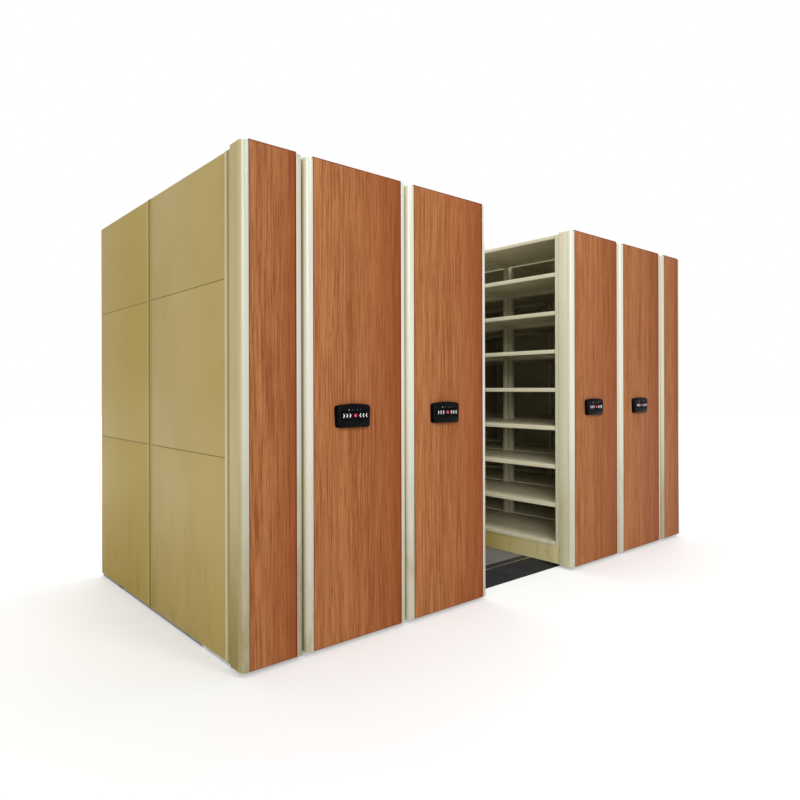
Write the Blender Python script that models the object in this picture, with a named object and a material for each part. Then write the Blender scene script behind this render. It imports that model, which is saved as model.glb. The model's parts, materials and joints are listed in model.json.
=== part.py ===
"""Compact mobile shelving: a row of six steel shelving ranges that close up on floor tracks.

The two outer ranges are fixed and single-faced. Between them run four powered, double-faced
carriages, two on each side of one open aisle. Metres, +Z up. X runs along the row, Y from the
front to the back, and the origin lies on the floor under the middle of the row. Every range is
drawn in its own frame: x = 0 on its centre line and y = 0 on the front face of its end panel.
"""

import math

import bmesh
import bpy
from mathutils import Matrix, Vector

# General fits
TOUCH_GAP = 0.0003          # between two pieces that rest on each other
CUT_OVERRUN = 0.010         # how far a cutter runs past the face it cuts
MERGE_DISTANCE = 0.00001    # points of a turned shape that lie on its axis
SHEET = 0.003               # folded steel sheet, as drawn

# The row
LEFT_CARRIAGES = 2
RIGHT_CARRIAGES = 2
SINGLE_WIDTH = 0.332        # a fixed, single-faced range, over its end casing
DOUBLE_WIDTH = 0.654        # a carriage, double-faced, over its end casing
BUMPER_GAP = 0.016          # left between two closed-up ranges
AISLE_WIDTH = 0.914

# The floor
DECK_THICKNESS = 0.019
DECK_INSET = 0.020          # of the floor's ends from the ends of the row
DECK_SKIN = 0.003           # of the deck left under the rear track
RUNNING_CLEARANCE = 0.003   # of carriages over the deck
RAMP_SETBACK = 0.032        # of the ramp's toe behind the end casing
RAMP_RUN = 0.243
RAMP_TOE = 0.0015
REAR_TRACK_INSET = 0.380    # of the rear track's centre line from the back of the shelves
RAIL_HEAD = 0.038
TRACK_LIP = 0.012
GROOVE_DEPTH = 0.009

# Wheels and axles
WHEEL_RADIUS = 0.055
WHEEL_WIDTH = 0.030
FLANGE_HEIGHT = 0.006
FLANGE_THICKNESS = 0.005
FLANGE_CLEARANCE = 0.0015   # beside a flange in its groove, on each side
AXLE_RADIUS = 0.0125
AXLE_END = 0.006            # of axle past its outermost bearing
BEARING_CLEARANCE = 0.0005
WHEEL_HEADROOM = 0.0104
WHEEL_SIDE_ROOM = 0.036     # between a flange and the chassis skirt
WHEEL_END_ROOM = 0.008      # between a wheel and the cross plates beside it
TURNED_SIDES = 16           # a multiple of 4, so that a wheel's lowest point meets the rail

# The carriage chassis
SKIRT = 0.005
CHASSIS_TOP = 0.006
CROSS_PLATE = 0.010
FASCIA_RECESS = 0.005       # of the base fascia behind the shelf lips

# The gearmotor on the drive axle
GEARBOX_DISTANCE = 0.220    # of the gearbox behind the front wheel bay
GEARBOX_LENGTH = 0.070
GEARBOX_OVERHANG = 0.045    # past the drive axle
GEARBOX_DROP = 0.042        # below the drive axle
MOTOR_OFFSET = 0.100        # between the motor's shaft and the drive axle
MOTOR_RADIUS = 0.040
MOTOR_LENGTH = 0.230
MOTOR_EDGE = 0.006

# Shelves and uprights
SHELF_LEVELS = 8
SHELF_PITCH = 0.284
SHELF_LIP = 0.030
TOP_CLEAR = 0.250           # over the topmost shelf
TOP_THICKNESS = 0.025
BAYS = 2
BAY_LENGTH = 0.952
POST_WIDTH = 0.038
POST_FACE = 0.020           # depth of a middle post behind the shelf lips
BODY_RECESS = 0.010         # of the shelving behind the sides of the end casing

# The side of the row: folded panels over the back of the left fixed range
SIDE_PANEL_DEPTH = 0.012
SIDE_PANEL_SETBACK = 0.073  # of their front edge behind the shelving's front
SIDE_PANEL_GAP = 0.003
SIDE_PANEL_DROP = 0.004     # of the topmost panels under the shelving's top
SIDE_PANEL_EDGE = 0.002
SEAM_BELOW_SHELF = 0.048
SEAM_SHELVES = (3, 6)       # shelves, counted from 0, just over the seams

# The end of each range
CASING_DEPTH = 0.110
CASING_TOP_DROP = 0.005     # of the casing's top under the end panel's
TRIM_WIDTH = 0.040
TRIM_RADIUS = 0.030
TRIM_SIDES = 6
PANEL_THICKNESS = 0.019
PANEL_EDGE = 0.0015
PANEL_RISE = 0.015          # of the end panel over the shelving: it comes to a height of 2.438

# The control pad
PAD_WIDTH = 0.230
PAD_HEIGHT = 0.122
PAD_DEPTH = 0.024
PAD_CENTRE_HEIGHT = 1.178
PAD_OFFSET = -0.050         # of its centre from the end panel's, to the left
PAD_CORNER = 0.014
PAD_RIM = 0.004
PAD_ARCH = 0.011            # rise of its arched top edge
PAD_TAPER = 0.005           # narrowing of its lower edge on each side
PAD_ARCH_SIDES = 8
KEY_WIDTH = 0.070
KEY_HEIGHT = 0.038
KEY_CORNER = 0.006
KEY_EDGE = 0.0012
KEY_THICKNESS = 0.009
KEY_PROUD = 0.0025          # of the pad's face, at rest
KEY_TRAVEL = 0.0015
KEY_CLEARANCE = 0.0004
KEY_SPACING = 0.004         # between the stop button and each key
STOP_RADIUS = 0.011
STOP_PROUD = 0.006
STOP_DOME = 0.003           # rise of its domed face
DOME_STEPS = 3
STOP_SIDES = 20

# Derived heights
GROOVE_WIDTH = FLANGE_THICKNESS + 2 * FLANGE_CLEARANCE
TRACK_WIDTH = RAIL_HEAD + 2 * GROOVE_WIDTH + 2 * TRACK_LIP
END_BOTTOM = DECK_THICKNESS + RUNNING_CLEARANCE
AXLE_HEIGHT = DECK_THICKNESS + TOUCH_GAP + WHEEL_RADIUS
FLANGE_RADIUS = WHEEL_RADIUS + FLANGE_HEIGHT
PLATE_UNDERSIDE = AXLE_HEIGHT + FLANGE_RADIUS + WHEEL_HEADROOM
CHASSIS_HEIGHT = PLATE_UNDERSIDE + CHASSIS_TOP
SHELVING_BOTTOM = CHASSIS_HEIGHT + TOUCH_GAP
FIRST_SHELF = SHELVING_BOTTOM + SHELF_LIP
TOP_UNDERSIDE = FIRST_SHELF + (SHELF_LEVELS - 1) * SHELF_PITCH + TOP_CLEAR
SHELVING_TOP = TOP_UNDERSIDE + TOP_THICKNESS
PANEL_TOP = SHELVING_TOP + PANEL_RISE
CASING_TOP = PANEL_TOP - CASING_TOP_DROP

# Derived places along Y
SHELVING_FRONT = CASING_DEPTH + TOUCH_GAP
SHELVING_BACK = SHELVING_FRONT + BAYS * BAY_LENGTH + (BAYS + 1) * POST_WIDTH
RAMP_FRONT = CASING_DEPTH + RAMP_SETBACK
FRONT_TRACK_START = RAMP_FRONT + RAMP_RUN
FRONT_TRACK_Y = FRONT_TRACK_START + TRACK_WIDTH / 2
REAR_TRACK_Y = SHELVING_BACK - REAR_TRACK_INSET
TREAD_HALF = RAIL_HEAD / 2 + FLANGE_CLEARANCE
WHEEL_BAY_HALF = TREAD_HALF + FLANGE_THICKNESS + WHEEL_END_ROOM
PAD_REACH = TOUCH_GAP + PAD_DEPTH + STOP_PROUD
FRONT_Y = (PAD_REACH - SHELVING_BACK) / 2

# Derived places along X, from a carriage's centre line
CHASSIS_HALF = DOUBLE_WIDTH / 2 - BODY_RECESS - FASCIA_RECESS
AXLE_X = CHASSIS_HALF - SKIRT - WHEEL_SIDE_ROOM - FLANGE_RADIUS


def paint(name, colour, roughness, metallic=0.0):
    """A plain Principled material."""
    material = bpy.data.materials.new(name)
    material.use_nodes = True
    shader = material.node_tree.nodes["Principled BSDF"]
    shader.inputs["Base Color"].default_value = (*colour, 1.0)
    shader.inputs["Roughness"].default_value = roughness
    shader.inputs["Metallic"].default_value = metallic
    return material


def mesh_of(bm, name, material):
    """The bmesh as a finished mesh, faces outwards, with its material."""
    bmesh.ops.recalc_face_normals(bm, faces=bm.faces)
    mesh = bpy.data.meshes.new(name)
    bm.to_mesh(mesh)
    bm.free()
    if material:
        mesh.materials.append(material)
    return mesh


def add_box(bm, low, high):
    """A box between two corners."""
    low, high = Vector(low), Vector(high)
    size = high - low
    fit = Matrix.Translation((low + high) / 2) @ Matrix.Diagonal((*size, 1.0))
    bmesh.ops.create_cube(bm, size=1.0, matrix=fit)


def boxes(name, corners, material=None):
    """A mesh of boxes that don't touch each other."""
    bm = bmesh.new()
    for low, high in corners:
        add_box(bm, low, high)
    return mesh_of(bm, name, material)


def add_prism(bm, outline, start, end):
    """Extrudes a closed outline from start by the vector end - start."""
    face = bm.faces.new([bm.verts.new(Vector(point) + start) for point in outline])
    grown = bmesh.ops.extrude_face_region(bm, geom=[face])["geom"]
    moved = [item for item in grown if isinstance(item, bmesh.types.BMVert)]
    bmesh.ops.translate(bm, verts=moved, vec=end - start)


def plan_prism(bm, outline, bottom, top):
    """A prism that stands on its plan, given as (x, y) points."""
    points = [(x, y, 0) for x, y in outline]
    add_prism(bm, points, Vector((0, 0, bottom)), Vector((0, 0, top)))


def front_prism(bm, outline, front, back):
    """A prism from a front view, given as (x, z) points, between two places along Y."""
    points = [(x, 0, z) for x, z in outline]
    add_prism(bm, points, Vector((0, back, 0)), Vector((0, front, 0)))


def add_turned(bm, profile, centre, sides=TURNED_SIDES):
    """Spins (y, radius) points about the Y axis through centre, from axis to axis."""
    verts = [bm.verts.new(centre + Vector((radius, y, 0))) for y, radius in profile]
    edges = [bm.edges.new(pair) for pair in zip(verts, verts[1:])]
    bmesh.ops.spin(
        bm,
        geom=verts + edges,
        cent=centre,
        axis=(0, 1, 0),
        angle=2 * math.pi,
        steps=sides,
        use_merge=True,
    )
    bmesh.ops.remove_doubles(bm, verts=bm.verts, dist=MERGE_DISTANCE)


def soften(bm, edges, offset, segments=2):
    """Rounds edges over."""
    bmesh.ops.bevel(
        bm,
        geom=edges,
        offset=offset,
        segments=segments,
        profile=0.5,
        affect="EDGES",
        material=-1,
    )


def cylinder_profile(start, end, radius):
    """(y, radius) points of a plain round bar."""
    return [(start, 0), (start, radius), (end, radius), (end, 0)]


def combine(mesh, operation, *others):
    """The mesh with each of the others cut away from it or joined to it, one after another."""
    scene_objects = bpy.context.scene.collection.objects
    solid = bpy.data.objects.new(mesh.name, mesh)
    scene_objects.link(solid)
    helpers = [solid]
    for other in others:
        helper = bpy.data.objects.new(other.name, other)
        helper.hide_render = True
        helper.display_type = "WIRE"
        scene_objects.link(helper)
        helpers.append(helper)
        modifier = solid.modifiers.new(other.name, "BOOLEAN")
        modifier.operation = operation
        modifier.solver = "EXACT"
        modifier.object = helper
    bpy.context.view_layer.update()
    evaluated = solid.evaluated_get(bpy.context.evaluated_depsgraph_get())
    result = bpy.data.meshes.new_from_object(evaluated)
    for helper in helpers:
        bpy.data.objects.remove(helper)
    result.name = mesh.name
    return result


def cut_away(mesh, *cutters):
    return combine(mesh, "DIFFERENCE", *cutters)


def smooth(mesh):
    """Shades round faces smooth and keeps real edges sharp."""
    mesh.shade_smooth()
    mesh.set_sharp_from_angle(angle=math.radians(35))
    return mesh


def place(name, mesh, parent, location=(0, 0, 0)):
    """A node of the model."""
    node = bpy.data.objects.new(name, mesh)
    node.parent = parent
    node.location = location
    bpy.context.scene.collection.objects.link(node)
    return node


def empty(name, location):
    holder = bpy.data.objects.new(name, None)
    holder.location = location
    bpy.context.scene.collection.objects.link(holder)
    return holder


def shelf_top(level):
    return FIRST_SHELF + level * SHELF_PITCH


def bay_start(bay):
    return SHELVING_FRONT + POST_WIDTH + bay * (BAY_LENGTH + POST_WIDTH)


def shelf_spaces():
    """(bottom, top) of the clear space over each shelf."""
    tops = [shelf_top(level) for level in range(SHELF_LEVELS)]
    roofs = [top - SHELF_LIP for top in tops[1:]] + [TOP_UNDERSIDE]
    return list(zip(tops, roofs))


def space_outline(low, high, back_low, back_high):
    """Plan of the clear space between the end uprights.

    It leaves the middle posts standing on each open face, and the back sheet where a face has one.
    """
    first, last = bay_start(0), bay_start(BAYS - 1) + BAY_LENGTH
    reach_low = low + back_low if back_low else low - CUT_OVERRUN
    reach_high = high - back_high if back_high else high + CUT_OVERRUN
    posts = [(bay_start(bay) - POST_WIDTH, bay_start(bay)) for bay in range(1, BAYS)]
    outline = [(reach_low, first), (reach_high, first)]
    if not back_high:
        for start, end in posts:
            inner = high - POST_FACE
            outline += [(reach_high, start), (inner, start), (inner, end), (reach_high, end)]
    outline += [(reach_high, last), (reach_low, last)]
    if not back_low:
        for start, end in reversed(posts):
            inner = low + POST_FACE
            outline += [(reach_low, end), (inner, end), (inner, start), (reach_low, start)]
    return outline


def shelving(name, low, high, bottom, material, back_low=0, back_high=0):
    """Uprights, middle posts, shelves and top of one range, between low and high along X.

    A range that stands on the deck starts at bottom with a plinth, and the bottom of one on a
    chassis is the underside of its first shelf.
    """
    corners = (low, SHELVING_FRONT, bottom), (high, SHELVING_BACK, SHELVING_TOP)
    block = boxes(name, [corners], material)
    outline = space_outline(low, high, back_low, back_high)
    bm = bmesh.new()
    for floor, roof in shelf_spaces():
        plan_prism(bm, outline, floor, roof)
    has_plinth = bottom < SHELVING_BOTTOM
    if has_plinth:
        face, past = (high, high + CUT_OVERRUN) if back_low else (low, low - CUT_OVERRUN)
        recessed = face - math.copysign(FASCIA_RECESS, past - face)
        edges = sorted((recessed, past))
        add_box(
            bm,
            (edges[0], SHELVING_FRONT - CUT_OVERRUN, bottom - CUT_OVERRUN),
            (edges[1], SHELVING_BACK + CUT_OVERRUN, SHELVING_BOTTOM),
        )
    spaces = mesh_of(bm, name + "_spaces", None)

    inner_low = low + max(SHEET, back_low)
    inner_high = high - max(SHEET, back_high)
    hollows = []
    undersides = [shelf_top(level) - SHELF_LIP for level in range(SHELF_LEVELS)] + [TOP_UNDERSIDE]
    tops = [shelf_top(level) for level in range(SHELF_LEVELS)] + [SHELVING_TOP]
    for underside, top in zip(undersides, tops):
        if has_plinth and underside == undersides[0]:
            continue
        for bay in range(BAYS):
            start = bay_start(bay)
            hollows.append(
                (
                    (inner_low, start + SHEET, underside - CUT_OVERRUN),
                    (inner_high, start + BAY_LENGTH - SHEET, top - SHEET),
                )
            )
    if has_plinth:
        hollows.append(
            (
                (inner_low + FASCIA_RECESS, bay_start(0), bottom - CUT_OVERRUN),
                (inner_high - FASCIA_RECESS, bay_start(BAYS - 1) + BAY_LENGTH, FIRST_SHELF - SHEET),
            )
        )
    for start in (SHELVING_FRONT, SHELVING_BACK - POST_WIDTH):
        hollows.append(
            (
                (low + SHEET + FASCIA_RECESS, start + SHEET, bottom - CUT_OVERRUN),
                (high - SHEET - FASCIA_RECESS, start + POST_WIDTH - SHEET, SHELVING_TOP - SHEET),
            )
        )
    return cut_away(block, spaces, boxes(name + "_hollows", hollows))


def casing(name, width, material):
    """The painted end casing: round front trims, side returns, a top and a seat for the panel."""
    half = width / 2
    seat = half - TRIM_WIDTH
    left = [(-half, CASING_DEPTH)]
    for step in range(TRIM_SIDES + 1):
        turn = step / TRIM_SIDES * math.pi / 2
        left.append(
            (-half + TRIM_RADIUS * (1 - math.cos(turn)), TRIM_RADIUS * (1 - math.sin(turn)))
        )
    left += [(-seat, 0), (-seat, PANEL_THICKNESS + TOUCH_GAP)]
    right = [(-x, y) for x, y in reversed(left)]
    bm = bmesh.new()
    plan_prism(bm, left + right, END_BOTTOM, CASING_TOP)
    block = mesh_of(bm, name, material)
    hollow = boxes(
        name + "_hollow",
        [
            (
                (-half + SHEET, PANEL_THICKNESS + TOUCH_GAP + SHEET, END_BOTTOM - CUT_OVERRUN),
                (half - SHEET, CASING_DEPTH - SHEET, CASING_TOP - SHEET),
            )
        ],
    )
    return smooth(cut_away(block, hollow))


def end_panel(name, width, material):
    """The laminate panel between the trims, with softened edges."""
    half = width / 2 - TRIM_WIDTH - TOUCH_GAP
    bm = bmesh.new()
    add_box(bm, (-half, 0, END_BOTTOM), (half, PANEL_THICKNESS, PANEL_TOP))
    soften(bm, bm.edges[:], PANEL_EDGE)
    return mesh_of(bm, name, material)


def side_panel(name, corner_low, corner_high, material):
    """A folded sheet panel on the left of the row, open at its back."""
    bm = bmesh.new()
    add_box(bm, corner_low, corner_high)
    outer = [e for e in bm.edges if all(abs(v.co.x - corner_low[0]) < TOUCH_GAP for v in e.verts)]
    soften(bm, outer, SIDE_PANEL_EDGE)
    block = mesh_of(bm, name, material)
    hollow_low = [edge + SHEET for edge in corner_low]
    hollow_high = [corner_high[0] + CUT_OVERRUN, corner_high[1] - SHEET, corner_high[2] - SHEET]
    return cut_away(block, boxes(name + "_hollow", [(hollow_low, hollow_high)]))


def chassis(name, material):
    """The carriage's welded base: skirts, top plate and cross plates that carry the axles."""
    outer_low = Vector((-CHASSIS_HALF, SHELVING_FRONT, END_BOTTOM))
    outer_high = Vector((CHASSIS_HALF, SHELVING_BACK, CHASSIS_HEIGHT))
    block = boxes(name, [(outer_low, outer_high)], material)
    bays = [SHELVING_FRONT + SKIRT]
    for track in (FRONT_TRACK_Y, REAR_TRACK_Y):
        for side in (-1, 1):
            near = track + side * WHEEL_BAY_HALF
            far = near + side * CROSS_PLATE
            bays += sorted((near, far))
    bays.append(SHELVING_BACK - SKIRT)
    inner = CHASSIS_HALF - SKIRT
    hollows = [
        ((-inner, start, END_BOTTOM - CUT_OVERRUN), (inner, end, PLATE_UNDERSIDE))
        for start, end in zip(bays[::2], bays[1::2])
    ]
    bm = bmesh.new()
    for x in (-AXLE_X, AXLE_X):
        bore = cylinder_profile(
            axle_start() - CUT_OVERRUN, axle_end() + CUT_OVERRUN, AXLE_RADIUS + BEARING_CLEARANCE
        )
        add_turned(bm, bore, Vector((x, 0, AXLE_HEIGHT)))
    bores = mesh_of(bm, name + "_bores", None)
    return smooth(cut_away(block, boxes(name + "_bays", hollows), bores))


def axle_start():
    return FRONT_TRACK_Y - WHEEL_BAY_HALF - CROSS_PLATE - AXLE_END


def axle_end():
    return REAR_TRACK_Y + WHEEL_BAY_HALF + CROSS_PLATE + AXLE_END


def wheelset(name, material):
    """An axle along Y with a double-flanged wheel on the front track and a plain one behind."""
    flange = TREAD_HALF + FLANGE_THICKNESS
    front, rear = FRONT_TRACK_Y, REAR_TRACK_Y
    plain = WHEEL_WIDTH / 2
    profile = [
        (axle_start(), 0),
        (axle_start(), AXLE_RADIUS),
        (front - flange, AXLE_RADIUS),
        (front - flange, FLANGE_RADIUS),
        (front - TREAD_HALF, FLANGE_RADIUS),
        (front - TREAD_HALF, WHEEL_RADIUS),
        (front + TREAD_HALF, WHEEL_RADIUS),
        (front + TREAD_HALF, FLANGE_RADIUS),
        (front + flange, FLANGE_RADIUS),
        (front + flange, AXLE_RADIUS),
        (rear - plain, AXLE_RADIUS),
        (rear - plain, WHEEL_RADIUS),
        (rear + plain, WHEEL_RADIUS),
        (rear + plain, AXLE_RADIUS),
        (axle_end(), AXLE_RADIUS),
        (axle_end(), 0),
    ]
    bm = bmesh.new()
    add_turned(bm, profile, Vector((0, 0, 0)))
    return smooth(mesh_of(bm, name, material))


def gearmotor(name, material):
    """A gearbox hung round the drive axle under the chassis plate, and its motor beside it."""
    start = FRONT_TRACK_Y + WHEEL_BAY_HALF + CROSS_PLATE + GEARBOX_DISTANCE
    end = start + GEARBOX_LENGTH
    motor_x = -AXLE_X + MOTOR_OFFSET
    box_low = (-AXLE_X - GEARBOX_OVERHANG, start, AXLE_HEIGHT - GEARBOX_DROP)
    box_high = (motor_x + GEARBOX_OVERHANG, end, PLATE_UNDERSIDE - TOUCH_GAP)
    motor_end = end + MOTOR_LENGTH
    motor_profile = [
        (start + GEARBOX_LENGTH / 2, 0),
        (start + GEARBOX_LENGTH / 2, MOTOR_RADIUS),
        (motor_end - MOTOR_EDGE, MOTOR_RADIUS),
        (motor_end, MOTOR_RADIUS - MOTOR_EDGE),
        (motor_end, 0),
    ]
    bm = bmesh.new()
    add_turned(bm, motor_profile, Vector((motor_x, 0, AXLE_HEIGHT)))
    motor = mesh_of(bm, name + "_motor", material)
    block = combine(boxes(name, [(box_low, box_high)], material), "UNION", motor)
    bm = bmesh.new()
    bore = cylinder_profile(start - CUT_OVERRUN, end + CUT_OVERRUN, AXLE_RADIUS + BEARING_CLEARANCE)
    add_turned(bm, bore, Vector((-AXLE_X, 0, AXLE_HEIGHT)))
    return smooth(cut_away(block, mesh_of(bm, name + "_bore", None)))


def key_centre(side):
    """Centre of a key from the stop button's, on the left (-1) or the right (1)."""
    return side * (STOP_RADIUS + KEY_SPACING + KEY_WIDTH / 2)


def add_key_block(bm, centre_x, grow, front, back):
    """A block with a key's rounded corners, grown by a clearance."""
    x, z = KEY_WIDTH / 2 + grow, KEY_HEIGHT / 2 + grow
    outline = [(centre_x - x, -z), (centre_x + x, -z), (centre_x + x, z), (centre_x - x, z)]
    before = set(bm.edges)
    front_prism(bm, outline, front, back)
    upright = [
        edge
        for edge in set(bm.edges) - before
        if abs(edge.verts[0].co.y - edge.verts[1].co.y) > abs(front - back) / 2
    ]
    soften(bm, upright, KEY_CORNER + grow, segments=3)


def key_mesh(name, material):
    bm = bmesh.new()
    front = -KEY_THICKNESS / 2
    add_key_block(bm, 0, 0, front, KEY_THICKNESS / 2)
    rim = [e for e in bm.edges if all(v.co.y < front + TOUCH_GAP for v in e.verts)]
    soften(bm, rim, KEY_EDGE)
    return smooth(mesh_of(bm, name, material))


def stop_mesh(name, material):
    """A round button with a domed face, about its own centre."""
    back = KEY_THICKNESS / 2
    shoulder = back - KEY_THICKNESS - STOP_PROUD + KEY_PROUD + STOP_DOME
    profile = [(back, 0), (back, STOP_RADIUS)]
    for step in range(DOME_STEPS + 1):
        turn = step / DOME_STEPS * math.pi / 2
        radius = STOP_RADIUS * math.cos(turn) if step < DOME_STEPS else 0
        profile.append((shoulder - STOP_DOME * math.sin(turn), radius))
    bm = bmesh.new()
    add_turned(bm, profile, Vector((0, 0, 0)), STOP_SIDES)
    return smooth(mesh_of(bm, name, material))


def pad_outline():
    """Front view of the pad: an arched top edge, and sides that draw in a little downwards."""
    half, bottom, shoulder = PAD_WIDTH / 2, -PAD_HEIGHT / 2, PAD_HEIGHT / 2 - PAD_ARCH
    outline = [(-half + PAD_TAPER, bottom), (half - PAD_TAPER, bottom)]
    for step in range(PAD_ARCH_SIDES + 1):
        share = 2 * step / PAD_ARCH_SIDES - 1
        outline.append((-share * half, shoulder + PAD_ARCH * (1 - share * share)))
    return outline


def control_pad(name, material):
    """The pad's housing, with a pocket for each key and for the stop button."""
    back = -TOUCH_GAP
    face = back - PAD_DEPTH
    bm = bmesh.new()
    front_prism(bm, pad_outline(), face, back)
    half_depth = PAD_DEPTH / 2
    corners = []
    for edge in bm.edges:
        along = abs(edge.verts[0].co.y - edge.verts[1].co.y) > half_depth
        outer = abs(edge.verts[0].co.x) > PAD_WIDTH / 2 - PAD_TAPER - TOUCH_GAP
        if along and outer:
            corners.append(edge)
    soften(bm, corners, PAD_CORNER, segments=3)
    rim = [e for e in bm.edges if all(v.co.y < face + TOUCH_GAP for v in e.verts)]
    soften(bm, rim, PAD_RIM)
    block = mesh_of(bm, name, material)
    floor = key_back() + KEY_TRAVEL + TOUCH_GAP
    bm = bmesh.new()
    for side in (-1, 1):
        add_key_block(bm, key_centre(side), KEY_CLEARANCE, face - CUT_OVERRUN, floor)
    pocket = cylinder_profile(face - CUT_OVERRUN, floor, STOP_RADIUS + KEY_CLEARANCE)
    add_turned(bm, pocket, Vector((0, 0, 0)), STOP_SIDES)
    return smooth(cut_away(block, mesh_of(bm, name + "_pockets", None)))


def key_back():
    """Place along Y of the back of the keys and the stop button, at rest."""
    return -TOUCH_GAP - PAD_DEPTH - KEY_PROUD + KEY_THICKNESS


def ramp(name, length, material):
    """A wedge up to the deck, in front of the front track."""
    outline = [
        (RAMP_FRONT, 0),
        (FRONT_TRACK_START - TOUCH_GAP, 0),
        (FRONT_TRACK_START - TOUCH_GAP, DECK_THICKNESS),
        (RAMP_FRONT, RAMP_TOE),
    ]
    return long_prism(name, outline, length, material)


def track_outline(centre, bottom):
    """Section of a track: a rail head that the wheels run on, a groove and a lip on each side."""
    head = RAIL_HEAD / 2
    lip = head + GROOVE_WIDTH
    edge = lip + TRACK_LIP
    groove = DECK_THICKNESS - GROOVE_DEPTH
    right = [
        (centre + head, DECK_THICKNESS),
        (centre + head, groove),
        (centre + lip, groove),
        (centre + lip, DECK_THICKNESS),
        (centre + edge, DECK_THICKNESS),
        (centre + edge, bottom),
    ]
    left = [(2 * centre - y, z) for y, z in reversed(right)]
    return right + left


def deck_outline():
    """Section of the deck from the front track to the back, with a channel for the rear track."""
    start = FRONT_TRACK_START + TRACK_WIDTH + TOUCH_GAP
    half = TRACK_WIDTH / 2 + TOUCH_GAP
    return [
        (start, 0),
        (SHELVING_BACK, 0),
        (SHELVING_BACK, DECK_THICKNESS),
        (REAR_TRACK_Y + half, DECK_THICKNESS),
        (REAR_TRACK_Y + half, DECK_SKIN),
        (REAR_TRACK_Y - half, DECK_SKIN),
        (REAR_TRACK_Y - half, DECK_THICKNESS),
        (start, DECK_THICKNESS),
    ]


def long_prism(name, outline, length, material):
    """A (y, z) section drawn out along X, centred."""
    points = [(0, y, z) for y, z in outline]
    bm = bmesh.new()
    add_prism(bm, points, Vector((-length / 2, 0, 0)), Vector((length / 2, 0, 0)))
    return mesh_of(bm, name, material)


def range_places():
    """Centre of each range along X, from left to right, and the length of the whole row."""
    carriages = range(LEFT_CARRIAGES + RIGHT_CARRIAGES)
    widths = [SINGLE_WIDTH] + [DOUBLE_WIDTH for _ in carriages] + [SINGLE_WIDTH]
    gaps = [BUMPER_GAP] * len(widths)
    gaps[LEFT_CARRIAGES] = AISLE_WIDTH
    length = sum(widths) + sum(gaps[:-1])
    edge = -length / 2
    centres = []
    for width, gap in zip(widths, gaps):
        centres.append(edge + width / 2)
        edge += width + gap
    return centres, length


def build_floor(length, materials):
    holder = empty("floor", (0, FRONT_Y, 0))
    inside = length - 2 * DECK_INSET
    place("floor_ramp", ramp("floor_ramp", inside, materials["ramp"]), holder)
    for name, y, bottom in (
        ("floor_track_front", FRONT_TRACK_Y, 0),
        ("floor_track_rear", REAR_TRACK_Y, DECK_SKIN + TOUCH_GAP),
    ):
        place(name, long_prism(name, track_outline(y, bottom), inside, materials["track"]), holder)
    place("floor_deck", long_prism("floor_deck", deck_outline(), inside, materials["deck"]), holder)


def build_side_panels(holder, material):
    """Six folded panels, two columns of three, over the back of the left fixed range."""
    low_x = -SINGLE_WIDTH / 2 + BODY_RECESS
    first = SHELVING_FRONT + SIDE_PANEL_SETBACK
    width = (SHELVING_BACK - first - SIDE_PANEL_GAP) / 2
    columns = {"front": (first, first + width), "rear": (SHELVING_BACK - width, SHELVING_BACK)}
    seams = [shelf_top(level) - SEAM_BELOW_SHELF for level in SEAM_SHELVES]
    bottoms = [END_BOTTOM] + [seam + SIDE_PANEL_GAP for seam in seams]
    tops = seams + [SHELVING_TOP - SIDE_PANEL_DROP]
    for column, (start, end) in columns.items():
        for row, bottom, top in zip(("low", "middle", "top"), bottoms, tops):
            name = f"fixed_left_side_panel_{column}_{row}"
            mesh = side_panel(
                name, (low_x, start, bottom), (low_x + SIDE_PANEL_DEPTH, end, top), material
            )
            place(name, mesh, holder)


def build_fixed(name, x, back_side, materials):
    """A fixed, single-faced range: its back is on its left (-1) or its right (1)."""
    holder = empty(name, (x, FRONT_Y, 0))
    half = SINGLE_WIDTH / 2 - BODY_RECESS
    low, high = -half, half
    bottom = DECK_THICKNESS + TOUCH_GAP
    back_low, back_high = 0, 0
    if back_side < 0:
        low += SIDE_PANEL_DEPTH + TOUCH_GAP
        back_low = SHEET
        build_side_panels(holder, materials["side_panel"])
    else:
        back_high = SHEET + SIDE_PANEL_DEPTH
    shelves = name + "_shelving"
    mesh = shelving(shelves, low, high, bottom, materials["shelving"], back_low, back_high)
    place(shelves, mesh, holder)
    place(name + "_casing", casing(name + "_casing", SINGLE_WIDTH, materials["casing"]), holder)
    panel = end_panel(name + "_end_panel", SINGLE_WIDTH, materials["end_panel"])
    place(name + "_end_panel", panel, holder)


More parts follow.
